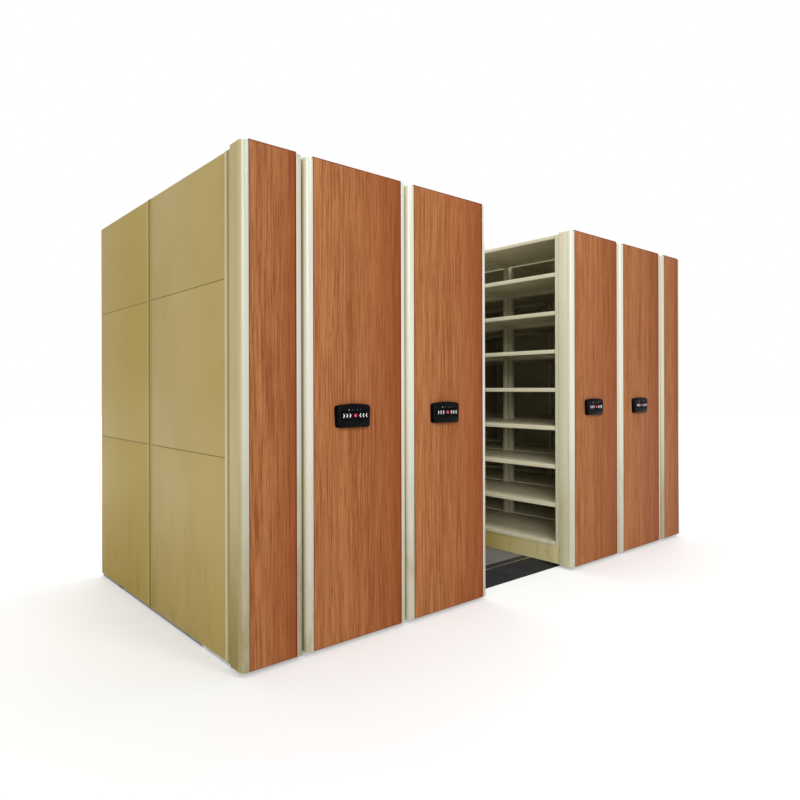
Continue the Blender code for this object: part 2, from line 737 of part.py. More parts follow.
def carriage_meshes(materials):
    """The meshes that all carriages share, with the place of each in a carriage's frame."""
    half = DOUBLE_WIDTH / 2 - BODY_RECESS
    key_y = key_back() - KEY_THICKNESS / 2
    pad_place = (PAD_OFFSET, 0, PAD_CENTRE_HEIGHT)
    stop_place = (PAD_OFFSET, key_y, PAD_CENTRE_HEIGHT)
    key_places = [(PAD_OFFSET + key_centre(side), key_y, PAD_CENTRE_HEIGHT) for side in (-1, 1)]
    shelves = shelving("shelving", -half, half, SHELVING_BOTTOM, materials["shelving"])
    key = key_mesh("key", materials["key"])
    axle = wheelset("axle", materials["axle"])
    return {
        "shelving": (shelves, (0, 0, 0)),
        "chassis": (chassis("chassis", materials["chassis"]), (0, 0, 0)),
        "casing": (casing("casing", DOUBLE_WIDTH, materials["casing"]), (0, 0, 0)),
        "end_panel": (end_panel("end_panel", DOUBLE_WIDTH, materials["end_panel"]), (0, 0, 0)),
        "control_pad": (control_pad("control_pad", materials["control_pad"]), pad_place),
        "left_key": (key, key_places[0]),
        "stop_button": (stop_mesh("stop_button", materials["stop"]), stop_place),
        "right_key": (key, key_places[1]),
        "drive_axle": (axle, (-AXLE_X, 0, AXLE_HEIGHT)),
        "idler_axle": (axle, (AXLE_X, 0, AXLE_HEIGHT)),
        "gearmotor": (gearmotor("gearmotor", materials["gearmotor"]), (0, 0, 0)),
    }


def make_materials():
    return {
        "shelving": paint("shelving_paint", (0.60, 0.55, 0.38), 0.45),
        "casing": paint("casing_paint", (0.64, 0.60, 0.44), 0.40),
        "side_panel": paint("side_panel_paint", (0.46, 0.37, 0.16), 0.45),
        "chassis": paint("chassis_paint", (0.42, 0.37, 0.20), 0.50),
        "end_panel": paint("wood_laminate", (0.42, 0.19, 0.08), 0.45),
        "control_pad": paint("pad_plastic", (0.012, 0.012, 0.014), 0.40),
        "key": paint("key_plastic", (0.02, 0.02, 0.022), 0.35),
        "stop": paint("stop_plastic", (0.75, 0.02, 0.10), 0.30),
        "axle": paint("axle_steel", (0.45, 0.45, 0.46), 0.35, 1.0),
        "gearmotor": paint("gearmotor_paint", (0.10, 0.11, 0.12), 0.50),
        "ramp": paint("ramp_rubber", (0.015, 0.015, 0.018), 0.85),
        "track": paint("track_steel", (0.30, 0.30, 0.31), 0.40, 1.0),
        "deck": paint("deck_vinyl", (0.10, 0.10, 0.095), 0.70),
    }


def main():
    for item in list(bpy.data.objects):
        bpy.data.objects.remove(item)
    materials = make_materials()
    centres, length = range_places()
    build_floor(length, materials)
    build_fixed("fixed_left", centres[0], -1, materials)
    build_fixed("fixed_right", centres[-1], 1, materials)
    shared = carriage_meshes(materials)
    for number, x in enumerate(centres[1:-1], start=1):
        name = f"carriage_{number}"
        holder = empty(name, (x, FRONT_Y, 0))
        for piece, (mesh, location) in shared.items():
            place(f"{name}_{piece}", mesh, holder, location)


main()
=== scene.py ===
# %% [markdown]
# # Compact mobile shelving: the finish of the visible pieces
#
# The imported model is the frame: ranges of steel shelving on floor tracks, closed up on both sides
# of one open aisle. This script gives each piece its real surface and swaps the plain solids that
# show for folded, rounded and slotted ones. It never moves or resizes the frame. Metres, +Z up,
# X along the row, Y from the front to the back.

# %% Load the frame
import json
import math

import bmesh
import bpy
from bmesh.types import BMFace, BMVert
from mathutils import Matrix, Vector

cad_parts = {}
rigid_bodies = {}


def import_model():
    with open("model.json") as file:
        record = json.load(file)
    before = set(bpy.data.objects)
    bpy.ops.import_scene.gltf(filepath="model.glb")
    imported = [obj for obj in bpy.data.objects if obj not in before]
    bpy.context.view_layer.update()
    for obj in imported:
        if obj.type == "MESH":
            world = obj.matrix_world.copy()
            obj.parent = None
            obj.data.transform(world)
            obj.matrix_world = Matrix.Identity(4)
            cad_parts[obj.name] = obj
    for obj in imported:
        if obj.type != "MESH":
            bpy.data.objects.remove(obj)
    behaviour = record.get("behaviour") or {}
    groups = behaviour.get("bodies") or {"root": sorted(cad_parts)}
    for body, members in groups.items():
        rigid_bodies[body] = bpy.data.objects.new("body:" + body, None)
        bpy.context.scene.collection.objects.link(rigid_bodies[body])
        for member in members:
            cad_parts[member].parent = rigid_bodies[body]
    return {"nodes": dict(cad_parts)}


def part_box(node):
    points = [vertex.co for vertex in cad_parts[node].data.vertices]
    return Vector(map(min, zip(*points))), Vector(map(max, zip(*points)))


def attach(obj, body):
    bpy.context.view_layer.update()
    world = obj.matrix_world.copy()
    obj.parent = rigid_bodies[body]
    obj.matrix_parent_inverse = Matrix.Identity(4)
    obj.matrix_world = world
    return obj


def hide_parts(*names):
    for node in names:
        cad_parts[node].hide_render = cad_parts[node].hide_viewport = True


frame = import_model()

for leftover in ("Cube", "Light", "Camera"):
    if leftover in bpy.data.objects:
        bpy.data.objects.remove(bpy.data.objects[leftover])
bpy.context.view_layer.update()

# %% [markdown]
# ## Where each range stands
#
# Every place comes from the frame, so that a new piece fits without being lined up by eye. A
# range's casing gives its sides, its end panel the front plane and its shelving the depth. The two
# outer ranges ride on the root body, the four carriages on their own.

# %% Measure the ranges
CARRIAGES = ["carriage_1", "carriage_2", "carriage_3", "carriage_4"]
FIXED = ["fixed_left", "fixed_right"]
RANGES = [FIXED[0], *CARRIAGES, FIXED[1]]


class Box:
    """The corners of a CAD node, at rest, and its middle across and up."""

    def __init__(self, node):
        low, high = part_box(node)
        self.left, self.front, self.bottom = low
        self.right, self.back, self.top = high
        self.middle = (self.left + self.right) / 2
        self.level = (self.bottom + self.top) / 2


def body_of(name):
    """The body that a range rides on."""
    return name if name in CARRIAGES else "root"


casing_of = {name: Box(f"{name}_casing") for name in RANGES}
panel_of = {name: Box(f"{name}_end_panel") for name in RANGES}
shelving_of = {name: Box(f"{name}_shelving") for name in RANGES}
FRONT = panel_of["carriage_1"].front
for name in RANGES:
    place = casing_of[name]
    print(name, "centre", round(place.middle, 4), "width", round(place.right - place.left, 4))

# %% [markdown]
# ## Shader maths as expressions
#
# A finish is a sum of small patterns, which reads best as arithmetic. `Field` wraps one socket, and
# each operator on it adds a Math node. `Finish` is a material on the bench: one method adds any
# other node, and `mix` blends colours, because a Math node would turn them grey.

# %% Fields and finishes
class Field:
    """A shader value that can be added, multiplied and so on."""

    def __init__(self, finish, socket):
        self.finish = finish
        self.socket = socket

    def math(self, operation, *values):
        return self.finish.node("Math", {"operation": operation}, dict(enumerate(values)))

    def __add__(self, other):
        return self.math("ADD", self, other)

    def __mul__(self, other):
        return self.math("MULTIPLY", self, other)

    def __sub__(self, other):
        return self.math("SUBTRACT", self, other)

    def __rsub__(self, other):
        return self.math("SUBTRACT", other, self)

    __radd__ = __add__

    def rise(self, start, end):
        """0 below start and 1 above end, with a smooth step between them."""
        inputs = {"Value": self, "From Min": start, "From Max": end}
        return self.finish.node("MapRange", {"interpolation_type": "SMOOTHSTEP"}, inputs)


class Finish:
    """The nodes of a new material, or of the world, with one method that adds a node."""

    def __init__(self, name, tree=None):
        if tree is None:
            self.material = bpy.data.materials.new(name)
            self.material.use_nodes = True
            tree = self.material.node_tree
            self.shader = tree.nodes["Principled BSDF"]
        self.tree = tree

    def node(self, kind, settings=None, inputs=None, output=0):
        made = self.tree.nodes.new("ShaderNode" + kind)
        for key, value in (settings or {}).items():
            setattr(made, key, value)
        for key, value in (inputs or {}).items():
            self.feed(made.inputs[key], value)
        return Field(self, made.outputs[output])

    def feed(self, socket, value):
        if isinstance(value, Field):
            self.tree.links.new(value.socket, socket)
        else:
            socket.default_value = value

    def surface(self, **inputs):
        """Feeds the shader: surface(Base_Color=...) stands for its socket Base Color."""
        for key, value in inputs.items():
            self.feed(self.shader.inputs[key.replace("_", " ")], value)

    def mix(self, factor, first, second):
        return self.node("Mix", {"data_type": "RGBA"}, {0: factor, 6: first, 7: second}, 2)

    def objects(self):
        return self.node("TexCoord", output="Object")

    def noise(self, vector, scale, detail=2.0, rough=0.5):
        inputs = {"Vector": vector, "Scale": scale, "Detail": detail, "Roughness": rough}
        return self.node("TexNoise", {}, inputs)

    def streaks(self, vector, scales, detail=2.0, rough=0.5, scale=1.0):
        """Noise that has a scale of its own along each axis."""
        stretched = self.node("Mapping", {}, {"Vector": vector, "Scale": scales})
        return self.noise(stretched, scale, detail, rough)

    def along(self, vector, axis):
        return self.node("SeparateXYZ", {}, {0: vector}, axis)

    def attribute(self, name):
        return self.node("Attribute", {"attribute_name": name}, {}, "Fac")

    def ray(self, kind):
        """1 for rays of one kind, such as Camera, and 0 for others."""
        return self.node("LightPath", output=f"Is {kind} Ray")

    def relief(self, height, depth, strength):
        """Adds a bump, the last thing that a finish gets, and returns the material."""
        inputs = {"Strength": strength, "Distance": depth, "Height": height}
        self.surface(Normal=self.node("Bump", {}, inputs))
        return self.material


def tone(red, green, blue):
    """A colour as a picture shows it, 0 to 255, in the linear values that a shader takes."""
    linear = []
    for value in (red, green, blue):
        share = value / 255
        linear.append(share / 12.92 if share <= 0.04045 else ((share + 0.055) / 1.055) ** 2.4)
    return (*linear, 1.0)


# %% [markdown]
# ## Powder-coated steel
#
# The steel is putty-coloured powder coat. Baked powder isn't flat: it has a fine orange-peel surface,
# its tone drifts a little over a large sheet, and it grows darker towards the floor, partly from dust
# and scuffs and partly as painted shade.
# Real orange peel is hundredths of a millimetre deep, so it is a noise on a Bump node rather than
# geometry. Only tone and gloss differ between the pieces, so one function makes all the paints.
# Some have more: the outer panels and the chassis get a painted shade that darkens and yellows them
# towards the back, the dust and painted shade near the floor reach higher on a trim, and a trim's
# curve takes the tone of a casing side where it turns to the side, which is painted shade.

# %% How a paint is made
PEEL_GRAIN = 700.0
PEEL_DEPTH = 0.00006
# Up to these heights the paint darkens towards the floor: dust and scuffs, and painted shade.
DUST_AND_SHADE_TOP = 0.90
TRIM_DUST_AND_SHADE_TOP = 1.50
# The tone of the painted shade towards the back of the outer panels and the chassis.
REAR_SHADE_TONE = tone(154, 130, 38)
DIRT_AND_SHADE_TONE = tone(118, 102, 36)


def powder_coat(name, light, dark, roughness, coat, grime=0.12, gloss=0.25, rear_shade=None, side=None):
    """Paint in two tones. Grime is how strongly the paint darkens towards the floor, with dust and
    painted shade. Rear shade is a share and the places along Y between which a painted shade grows
    towards the back. Side is for trims: the tone of the painted shade that their curve takes towards
    the side.
    """
    finish = Finish(name)
    where = finish.objects()
    drift = finish.noise(where, 1.7, 3.0, 0.55).rise(0.35, 0.65)
    speck = finish.noise(where, 260.0, 2.0)
    # Darker towards the floor: dust and scuffs, and painted shade.
    floor_dust_and_shade = 1 - finish.along(where, "Z").rise(0.0, TRIM_DUST_AND_SHADE_TOP if side else DUST_AND_SHADE_TOP)
    smear = finish.streaks(where, (9, 9, 2.5), 4.0, 0.6, 1.6).rise(0.48, 0.72)
    colour = finish.mix(drift * 0.55 + speck * 0.25, light, dark)
    # Painted shade: darker and yellower towards the back.
    if rear_shade:
        share, start, end = rear_shade
        rear_shade_share = finish.along(where, "Y").rise(start, end) * share
        colour = finish.mix(rear_shade_share, colour, REAR_SHADE_TONE)
    # Painted shade on a trim's curve: it takes the side tone as it turns from the front to the side.
    if side:
        colour = finish.mix(finish.attribute("turned").rise(0.0, 0.45), side, colour)
    # grime sets how strongly the dust and the painted shade near the floor darken the paint
    colour = finish.mix(floor_dust_and_shade * (smear * 0.25 + grime), colour, DIRT_AND_SHADE_TONE)
    rough = roughness + (speck - 0.5) * 0.10 + floor_dust_and_shade * 0.12 + smear * 0.04
    peel = finish.noise(where, PEEL_GRAIN, 2.0)
    finish.surface(Base_Color=colour, Roughness=rough)
    finish.surface(Coat_Weight=coat, Coat_Roughness=0.12, Specular_IOR_Level=gloss)
    return finish.relief(peel, PEEL_DEPTH, 0.6)


# %% The paints
PANEL_TONES = tone(175, 154, 96), tone(165, 142, 78)
# Shaded copy of the casing paint for the fixed ranges: its darker tones are painted shade.
SHADED_OUTER_TONES = tone(184, 168, 122), tone(175, 158, 106)
CASING_TONES = tone(213, 208, 180), tone(205, 198, 166)
# Whiter than the casing tones: the same putty paint with a painted sheen.
TRIM_TONES = tone(210, 210, 197), tone(203, 202, 185)
# Shaded copy of the trim paint for the fixed ranges: its darker tones are painted shade.
SHADED_OUTER_TRIM_TONES = tone(200, 199, 184), tone(193, 191, 171)
SHELF_TONES = tone(214, 208, 182), tone(204, 197, 168)
CHASSIS_TONES = tone(212, 203, 156), tone(202, 191, 142)
# The tone of the painted shade on a carriage trim's curve where it turns to the side.
TRIM_SIDE_SHADE_TONE = tone(212, 208, 184)
# How strongly, and between which places along Y, the painted shade towards the back grows.
PANEL_REAR_SHADE = 0.75, -0.4, 0.7
CHASSIS_REAR_SHADE = 0.75, -1.0, -0.1
panel_paint = powder_coat("side panel paint", *PANEL_TONES, 0.45, 0.0, 0.20, 0.15, rear_shade=PANEL_REAR_SHADE)
shaded_outer_paint = powder_coat("shaded casing paint of the fixed ranges", *SHADED_OUTER_TONES, 0.42, 0.0, 0.75, 0.15)
casing_paint = powder_coat("casing paint", *CASING_TONES, 0.40, 0.05, 0.30)
trim_paint = powder_coat("trim paint", *TRIM_TONES, 0.24, 0.35, 0.38, side=TRIM_SIDE_SHADE_TONE)
shaded_outer_trim = powder_coat("shaded trim paint of the fixed ranges", *SHADED_OUTER_TRIM_TONES, 0.30, 0.20, 0.60, side=SHADED_OUTER_TONES[0])
shelving_paint = powder_coat("shelving paint", *SHELF_TONES, 0.40, 0.1)
chassis_paint = powder_coat("chassis paint", *CHASSIS_TONES, 0.48, 0.0, rear_shade=CHASSIS_REAR_SHADE)
print("paints made")

# %% [markdown]
# ## Wood laminate
#
# The end panels are board with a printed wood laminate whose grain runs up the panel. It could be
# one stretched noise, but real figure has several widths at once: broad bands, streaks of a few
# millimetres, hair-fine fibres and short dark pores. Each is a noise stretched along the grain on
# the panel's own UV map, in metres, so that each panel shows another part of one sheet. The panel
# deepens in tone to its right, and its right and upper edges end in a dark line. Both follow
# values that the mesh carries, as a shader can't see how far it is from an edge.

# %% The laminate
GRAIN_DEPTH = 0.00008
RIGHT_LINE = 0.004, 0.011
TOP_LINE = 0.002, 0.007


def wood_laminate():
    finish = Finish("wood laminate")
    grain = finish.node("UVMap", {"uv_map": "Grain"})
    sway = finish.streaks(grain, (1.6, 0.8, 1))
    bent = finish.node("VectorMath", {"operation": "SCALE"}, {0: (0.03, 0, 0), "Scale": sway})
    figure = finish.node("VectorMath", {"operation": "ADD"}, {0: grain, 1: bent})
    broad = finish.streaks(figure, (17, 0.5, 1), 2.0, 0.6)
    band = finish.streaks(figure, (95, 1.8, 1), 3.0, 0.65)
    streak = finish.streaks(figure, (210, 3.6, 1), 3.0, 0.65)
    fibre = finish.streaks(figure, (650, 14, 1))
    pore = finish.streaks(figure, (360, 18, 1), 1.0).rise(0.66, 0.74)
    vein = finish.streaks(figure, (110, 3.4, 1), 4.0, 0.7).rise(0.57, 0.70)
    knot = finish.streaks(figure, (30, 5.0, 1), 2.0, 0.6).rise(0.68, 0.80)
    across = finish.attribute("across")
    inner = finish.attribute("from_edge").rise(*RIGHT_LINE)
    inner = inner * finish.attribute("from_top").rise(*TOP_LINE)

    light_share = broad * 0.25 + band * 0.38 + streak * 0.50 - 0.06
    colour = finish.mix(light_share.rise(0.39, 0.61), tone(124, 67, 35), tone(173, 114, 70))
    colour = finish.mix(fibre.rise(0.35, 0.7) * 0.30, colour, tone(186, 129, 82))
    colour = finish.mix(vein * 0.60, colour, tone(118, 52, 24))
    colour = finish.mix(knot * 0.60, colour, tone(106, 46, 22))
    colour = finish.mix(pore * 0.50, colour, tone(100, 44, 22))
    colour = finish.mix(across * across * 0.72, colour, tone(126, 56, 20))
    colour = finish.mix((1 - inner) * 0.90, colour, tone(112, 30, 8))
    rough = 0.40 + streak * 0.10 + pore * 0.08
    finish.surface(Base_Color=colour, Roughness=rough, Specular_IOR_Level=0.06)
    return finish.relief(fibre * 0.5 + streak * 0.5 - pore * 0.6, GRAIN_DEPTH, 0.5)


def edge_band():
    finish = Finish("edge band")
    where = finish.objects()
    grain = finish.streaks(where, (260, 260, 5), 3.0)
    colour = finish.mix(grain, tone(124, 44, 16), tone(92, 28, 10))
    finish.surface(Base_Color=colour, Roughness=0.40 + grain * 0.1, Specular_IOR_Level=0.2)
    return finish.relief(grain, GRAIN_DEPTH, 0.5)


wood, band = wood_laminate(), edge_band()
print("laminate:", len(wood.node_tree.nodes), "nodes")

# %% [markdown]
# ## Plastics, rubber, bare steel and vinyl
#
# The control pads are moulded in black plastic with a fine grain and a soft sheen, the stop button
# is a glossy red dome, and the marks on the keys are printed in white. On the floor lie a pebbled
# black rubber ramp, worn steel tracks and a speckled grey vinyl deck. Each is a base colour, a
# roughness that varies, and the relief that the material is known by.

# %% Small parts' plastics
MOULD_GRAIN = 1400.0
MOULD_DEPTH = 0.00004


def moulded(name, base, worn, roughness, coat=0.0, gloss=0.15):
    """Moulded plastic: a fine grain, and paler where hands polish it."""
    finish = Finish(name)
    where = finish.objects()
    texture = finish.noise(where, MOULD_GRAIN, 2.0)
    touch = finish.noise(where, 26.0, 3.0, 0.6).rise(0.40, 0.75)
    finish.surface(Base_Color=finish.mix(touch * 0.5, base, worn))
    finish.surface(Roughness=roughness + texture * 0.08 - touch * 0.06)
    finish.surface(Coat_Weight=coat, Coat_Roughness=0.08, Specular_IOR_Level=gloss)
    return finish.relief(texture, MOULD_DEPTH, 0.6)


pad_plastic = moulded("pad plastic", tone(6, 5, 7), tone(12, 11, 14), 0.36, gloss=0.05)
key_plastic = moulded("key plastic", tone(6, 6, 7), tone(11, 11, 13), 0.42, gloss=0.06)
stop_plastic = moulded("stop plastic", tone(206, 30, 66), tone(224, 60, 92), 0.22, 0.2, 0.3)
print_white = moulded("printed white", tone(250, 250, 247), tone(238, 238, 234), 0.45)
lens_lit = moulded("lit lens", tone(214, 210, 236), tone(232, 230, 244), 0.18, coat=0.5)
lens_dark = moulded("dark lens", tone(66, 70, 86), tone(88, 90, 104), 0.18, coat=0.5)
# Painted shade: the olive of the shadow in the level gaps between the outer panels.
gap_shade_strip = moulded("painted gap shade", tone(112, 98, 54), tone(124, 110, 66), 0.7)
print("plastics made")


# %% The floor's surfaces
PEBBLE_DEPTH = 0.0008
BRUSH_DEPTH = 0.00005
VINYL_DEPTH = 0.00012


def ramp_rubber():
    finish = Finish("ramp rubber")
    where = finish.objects()
    pebble = finish.node("TexVoronoi", {"feature": "SMOOTH_F1"}, {"Vector": where, "Scale": 210.0})
    wear = finish.noise(where, 5.0, 4.0, 0.6).rise(0.45, 0.75)
    finish.surface(Base_Color=finish.mix(wear * 0.7, tone(34, 34, 37), tone(56, 55, 56)))
    finish.surface(Roughness=0.62 + wear * 0.2, Specular_IOR_Level=0.2)
    return finish.relief(pebble, PEBBLE_DEPTH, 0.7)


def worn_steel(name, dark, bright, roughness, metallic, along=(1.5, 90, 90)):
    """Rolled or turned steel, with brushing along one direction and patches of dull film."""
    finish = Finish(name)
    where = finish.objects()
    brush = finish.streaks(where, along, 3.0, 0.6, 8.0)
    film = finish.noise(where, 7.0, 4.0, 0.6).rise(0.38, 0.70)
    finish.surface(Base_Color=finish.mix(film * 0.5 + brush * 0.3, bright, dark))
    finish.surface(Roughness=roughness + film * 0.16 + brush * 0.08, Metallic=metallic)
    return finish.relief(brush, BRUSH_DEPTH, 0.5)


def speckled_vinyl():
    finish = Finish("deck vinyl")
    where = finish.objects()
    chip = finish.node("TexVoronoi", {}, {"Vector": where, "Scale": 330.0}, "Color")
    share = finish.node("SeparateColor", {}, {0: chip})
    grime = finish.noise(where, 2.6, 4.0, 0.6).rise(0.40, 0.72)
    colour = finish.mix(share.rise(0.55, 0.95) * 0.5, tone(112, 113, 112), tone(150, 150, 146))
    colour = finish.mix((1 - share).rise(0.72, 1.0) * 0.6, colour, tone(58, 58, 60))
    colour = finish.mix(grime * 0.25, colour, tone(78, 74, 66))
    finish.surface(Base_Color=colour, Roughness=0.48 + grime * 0.14)
    return finish.relief(finish.noise(where, 420.0, 2.0), VINYL_DEPTH, 0.6)


rubber, vinyl = ramp_rubber(), speckled_vinyl()
track_steel = worn_steel("track steel", tone(34, 34, 36), tone(62, 61, 60), 0.46, 0.6)
bright_strip = worn_steel("edging strip", tone(170, 170, 170), tone(214, 214, 214), 0.30, 1.0)
AXLE_TONES = tone(120, 120, 122), tone(176, 176, 178)
axle_steel = worn_steel("axle steel", *AXLE_TONES, 0.30, 1.0, along=(90, 1.5, 90))
gearmotor_paint = powder_coat("gearmotor paint", tone(84, 88, 92), tone(70, 74, 78), 0.48, 0.1)
print("floor and drive finishes made")

# %% [markdown]
# ## From a bmesh to a piece
#
# A finished piece keeps its place in its mesh and its object at the origin, as the frame's own
# nodes do. It rides on one CAD body, takes its finish from one material slot of the record, and
# says which CAD nodes it stands for, so that those are hidden but still collide.

# %% Finish a piece
SHARP = math.radians(38)
triangle_count = {}


def linked(name, data):
    """A new object in the scene."""
    item = bpy.data.objects.new(name, data)
    bpy.context.scene.collection.objects.link(item)
    return item


def new_object(name, bm, materials):
    """A new object that gets its mesh from a bmesh."""
    mesh = bpy.data.meshes.new(name)
    bm.to_mesh(mesh)
    bm.free()
    for material in materials:
        mesh.materials.append(material)
    return linked(name, mesh)


def piece(name, bm, body, materials, stands_for=()):
    """Turns a bmesh into a finished piece and counts its triangles."""
    item = new_object(name, bm, materials)
    item.data.shade_smooth()
    item.data.set_sharp_from_angle(angle=SHARP)
    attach(item, body)
    if stands_for:
        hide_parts(*stands_for)
    triangle_count[name] = sum(len(face.vertices) - 2 for face in item.data.polygons)


def tell(*names):
    """Prints how many triangles some pieces have."""
    for name in names:
        print(name, "triangles:", triangle_count[name])


def round_edges(bm, edges, radius, segments=2):
    """Rounds edges over. A radius that is too large for its faces is held back."""
    shape = {"offset": radius, "segments": segments, "profile": 0.5, "affect": "EDGES"}
    bmesh.ops.bevel(bm, geom=edges, material=-1, clamp_overlap=True, **shape)


def block(bm, low, high, radius=0.0, segments=2):
    """A box between two corners, with all its edges rounded over."""
    low, high = Vector(low), Vector(high)
    fit = Matrix.Translation((low + high) / 2) @ Matrix.Diagonal((*(high - low), 1.0))
    made = bmesh.ops.create_cube(bm, size=1.0, matrix=fit)["verts"]
    if radius:
        edges = list({edge for vert in made for edge in vert.link_edges})
        round_edges(bm, edges, radius, segments)


# %% [markdown]
# ## Folding sheet steel
#
# Shelves and trims are sheet steel, folded on a press brake. The drawing of such a piece is a list
# of runs and bends, so the helper reads one: it walks the section as a chain of edges, a vertex
# extruded for a run and spun for a bend, draws the chain out along an axis, and gives the sheet
# its gauge. A cube with bevels would have no open underside and no true bend radius.

# %% Walk a section
BEND_STEPS = 3
MERGE = 0.00002  # vertices nearer than this are one


def of_kind(items, kind):
    """The vertices or the faces in what an operator has returned."""
    return [item for item in items if isinstance(item, kind)]


def walk(bm, start, heading, axis, moves, bend_steps=BEND_STEPS):
    """Draws runs (a length) and bends (radius, degrees to the left about axis) as edges."""
    heading, axis = Vector(heading), Vector(axis)
    tip = bm.verts.new(start)
    for move in moves:
        if isinstance(move, tuple):
            radius, degrees = move
            angle = math.radians(degrees)
            if radius:
                centre = tip.co + axis.cross(heading) * math.copysign(radius, angle)
                turn = {"cent": centre, "axis": axis, "angle": angle, "steps": bend_steps}
                bent = bmesh.ops.spin(bm, geom=[tip], use_merge=False, **turn)
                tip = of_kind(bent["geom_last"], BMVert)[0]
            heading = Matrix.Rotation(angle, 3, axis) @ heading
        else:
            tip = bmesh.ops.extrude_vert_indiv(bm, verts=[tip])["verts"][0]
            bmesh.ops.translate(bm, verts=[tip], vec=heading * move)


# %% Make a sheet or a bar of it
def folded(bm, start, heading, axis, moves, length, gauge):
    """A folded sheet. The walked line is its outer face; the gauge grows to the line's left."""
    before = set(bm.edges)
    walk(bm, start, heading, axis, moves)
    edges = [edge for edge in bm.edges if edge not in before]
    drawn = bmesh.ops.extrude_edge_only(bm, edges=edges)["geom"]
    far = of_kind(drawn, BMVert)
    bmesh.ops.translate(bm, verts=far, vec=Vector(axis) * length)
    sheet = of_kind(drawn, BMFace)
    thick = bmesh.ops.solidify(bm, geom=sheet, thickness=-gauge)["geom"]
    shell = sheet + of_kind(thick, BMFace)
    bmesh.ops.recalc_face_normals(bm, faces=[face for face in shell if face.is_valid])


def prism(bm, start, heading, axis, moves, length, bend_steps=BEND_STEPS):
    """A solid bar whose section is the closed walk."""
    before_verts, before_edges = set(bm.verts), set(bm.edges)
    walk(bm, start, heading, axis, moves, bend_steps)
    ring = [vert for vert in bm.verts if vert not in before_verts]
    bmesh.ops.remove_doubles(bm, verts=ring, dist=MERGE)
    edges = [edge for edge in bm.edges if edge not in before_edges]
    face = bmesh.ops.contextual_create(bm, geom=edges)["faces"]
    grown = bmesh.ops.extrude_face_region(bm, geom=face)["geom"]
    moved = of_kind(grown, BMVert)
    bmesh.ops.translate(bm, verts=moved, vec=Vector(axis) * length)
    shell = {side for vert in moved for side in vert.link_faces} | set(face)
    bmesh.ops.recalc_face_normals(bm, faces=list(shell))


# %% [markdown]
# ## End boards
#
# Each range ends in a laminate board, 19 mm thick, with a darker edge band on its narrow sides that
# shows as a thin line round the face. A box with an inset face gives the band its own material, and
# small bevels catch the light. The top right corners of two boards are rounded, as on the real
# ones. The board's UV map is in metres and starts at another place on each board. Three values on
# its vertices tell the laminate how far a point is from the board's edges.

# %% Lay the grain on a board
SHEET_ACROSS = 1.37  # how far the grain of the next board starts across the sheet
SHEET_ALONG = 0.73


def lay_grain(bm, place, number):
    """The UV map and the distances from the edges that the laminate reads."""
    grain = bm.loops.layers.uv.new("Grain")
    across = bm.verts.layers.float.new("across")
    from_edge = bm.verts.layers.float.new("from_edge")
    from_top = bm.verts.layers.float.new("from_top")
    for vert in bm.verts:
        vert[across] = (vert.co.x - place.left) / (place.right - place.left)
        vert[from_edge] = place.right - vert.co.x
        vert[from_top] = place.top - vert.co.z
    for face in bm.faces:
        for loop in face.loops:
            u = loop.vert.co.x - place.left + number * SHEET_ACROSS
            loop[grain].uv = (u, loop.vert.co.z + number * SHEET_ALONG)


# %% Build the boards
BAND = 0.0025
BOARD_EDGE = 0.0012
CORNER = {"carriage_3": 0.020, "carriage_4": 0.020}
PLAIN_CORNER = 0.003
NEAR_CORNER = 0.001


def round_corner(bm, place, radius):
    """Rounds the upper right corner of a board over."""
    right, top = place.right - NEAR_CORNER, place.top - NEAR_CORNER
    near = {vert for vert in bm.verts if vert.co.x > right and vert.co.z > top}
    edges = [edge for edge in bm.edges if near.issuperset(edge.verts)]
    round_edges(bm, edges, radius, segments=6)


def end_board(name, number):
    """A board with a banded rim, in place of a range's end panel."""
    place = panel_of[name]
    bm = bmesh.new()
    block(bm, (place.left, place.front, place.bottom), (place.right, place.back, place.top))
    round_corner(bm, place, CORNER.get(name, PLAIN_CORNER))
    faces = [face for face in bm.faces if face.normal.y < -0.9]
    bmesh.ops.inset_region(bm, faces=faces, thickness=BAND, use_even_offset=True)
    for face in bm.faces:
        face.material_index = 0 if face in faces or face.normal.y > 0.9 else 1
    rim = [edge for edge in bm.edges if edge.calc_face_angle(0) > SHARP]
    round_edges(bm, rim, BOARD_EDGE)
    lay_grain(bm, place, number)
    skin = [wood, band]
    piece(f"{name}_board", bm, body_of(name), skin, [f"{name}_end_panel"])


for number, name in enumerate(RANGES):
    end_board(name, number)
tell("carriage_1_board")

# %% [markdown]
# ## Trims and casings
#
# On both sides of a board stands a rounded trim. Its section is walked forward along the side,
# round a quarter circle of 30 mm, along the front and back into the seat of the board, with turns
# to the left on the left side and to the right on the right. Sixteen steps keep the highlight on
# the quarter circle smooth. Behind the trims the casing runs back to the shelves, with a fine seam
# where it meets them, and a backing fills the seat behind the board.

# %% A trim
UP, RIGHT, BACK = Vector((0, 0, 1)), Vector((1, 0, 0)), Vector((0, 1, 0))
TRIM_RADIUS = 0.030
TRIM_WIDTH = 0.040
TRIM_DEPTH = 0.036
TRIM_FOLD = 0.0025
TRIM_STEPS = 16


def trim(bm, edge, side, bottom, height):
    """A trim on the left (1) or right (-1) side of a range whose outer face is at x = edge."""
    turn = 90 * side
    moves = [TRIM_DEPTH - TRIM_RADIUS, (TRIM_RADIUS, turn)]
    moves += [TRIM_WIDTH - TRIM_RADIUS - TRIM_FOLD, (TRIM_FOLD, turn)]
    moves += [TRIM_DEPTH - TRIM_FOLD, (0, turn), TRIM_WIDTH]
    prism(bm, (edge, FRONT + TRIM_DEPTH, bottom), -BACK, UP, moves, height, TRIM_STEPS)


